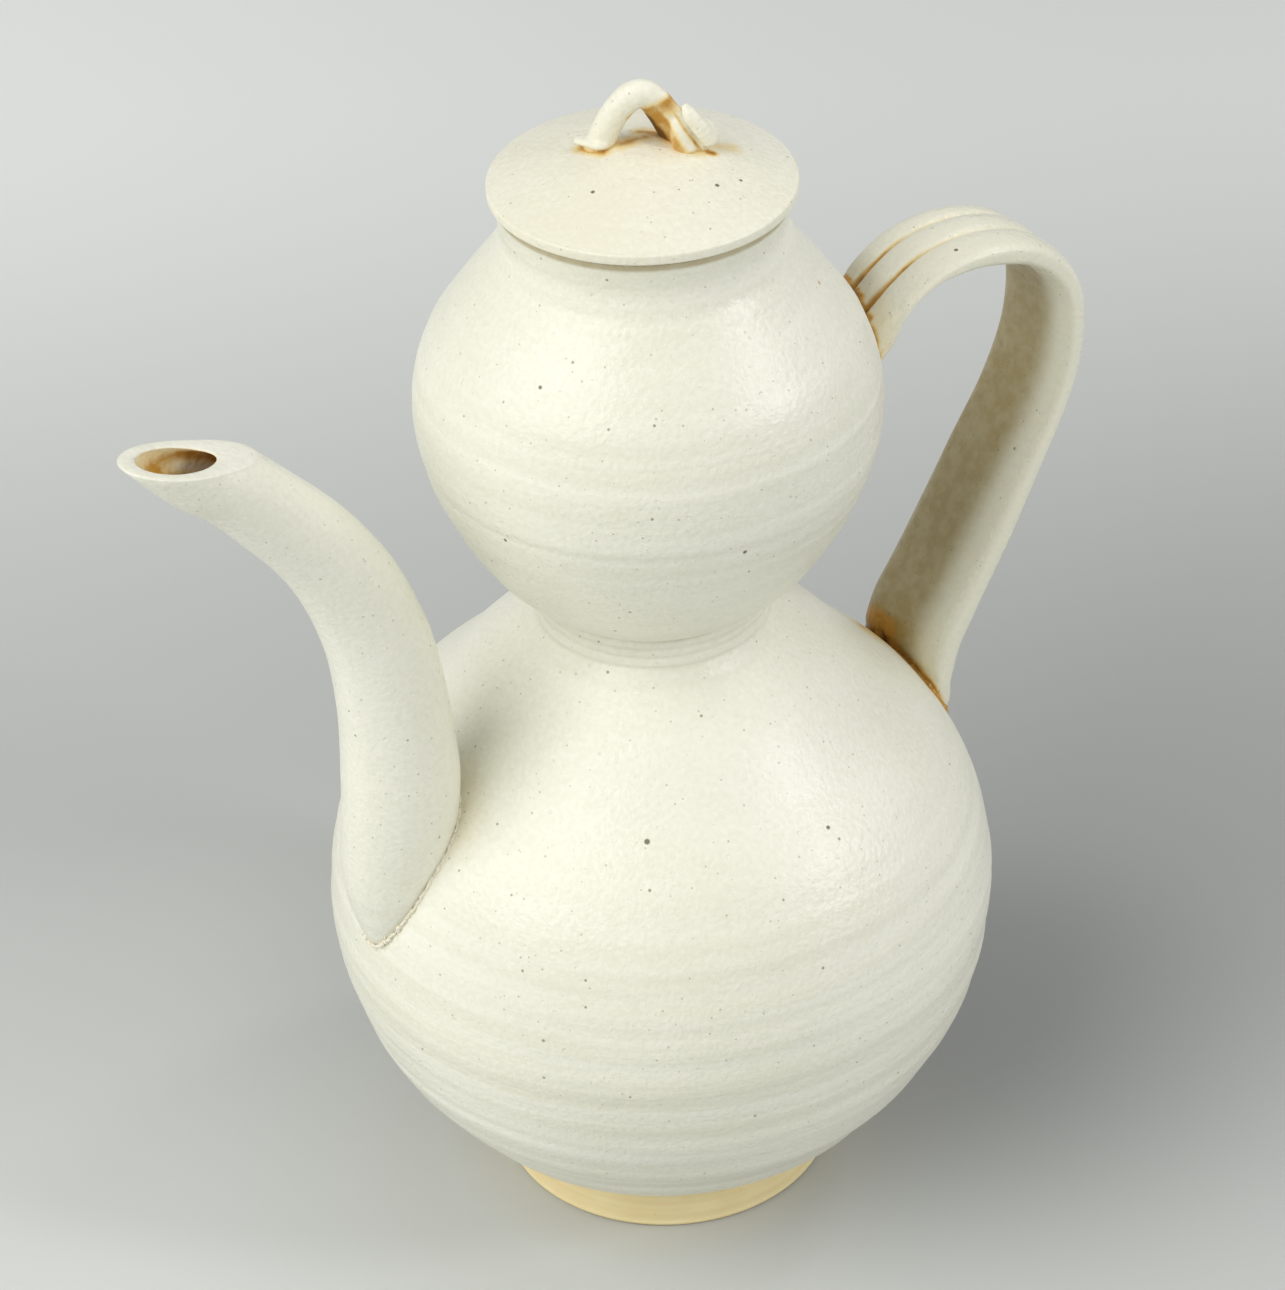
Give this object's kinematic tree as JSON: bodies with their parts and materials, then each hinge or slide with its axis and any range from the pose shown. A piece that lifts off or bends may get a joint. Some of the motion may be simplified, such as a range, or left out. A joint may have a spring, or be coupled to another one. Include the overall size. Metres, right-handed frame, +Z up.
{
  "type": "double gourd wine ewer",
  "caption": "White glazed double gourd wine ewer with a curved spout, a ridged strap handle and a domed lid with a looped coil knob.",
  "frame": {"origin": "the middle of the flat underside of the foot, on the surface that the ewer stands on", "axes": "+Z up through both bulbs and the lid, -X toward the spout, +X toward the handle"},
  "size_m": [0.1807, 0.1176, 0.2158],
  "materials": {
    "body_glaze": "satin gloss off-white glaze with fine iron specks",
    "strap_glaze": "satin gloss glaze, pooled warm brown in the grooves and at the joins",
    "lid_glaze": "satin gloss ivory glaze, thinner over the knob",
    "bare_clay": "matt unglazed buff clay",
    "luting_clay": "rough glaze edge, pooled orange brown"
  },
  "bodies": {
    "jug": {"foot_disc": "bare_clay", "lower_bulb": "body_glaze", "upper_bulb": "body_glaze", "spout": "body_glaze", "spout_luting": "luting_clay", "handle_strap": "strap_glaze", "handle_upper_luting": "luting_clay", "handle_lower_luting": "luting_clay"},
    "lid": {"lid": "lid_glaze", "knob_loop": "lid_glaze", "knob_curl": "lid_glaze"}
  },
  "joints": [
    {"name": "lid_lift", "type": "slide", "parent": "jug", "child": "lid", "axis": [0, 0, 1], "range_m": [0, 0.035]}
  ]
}
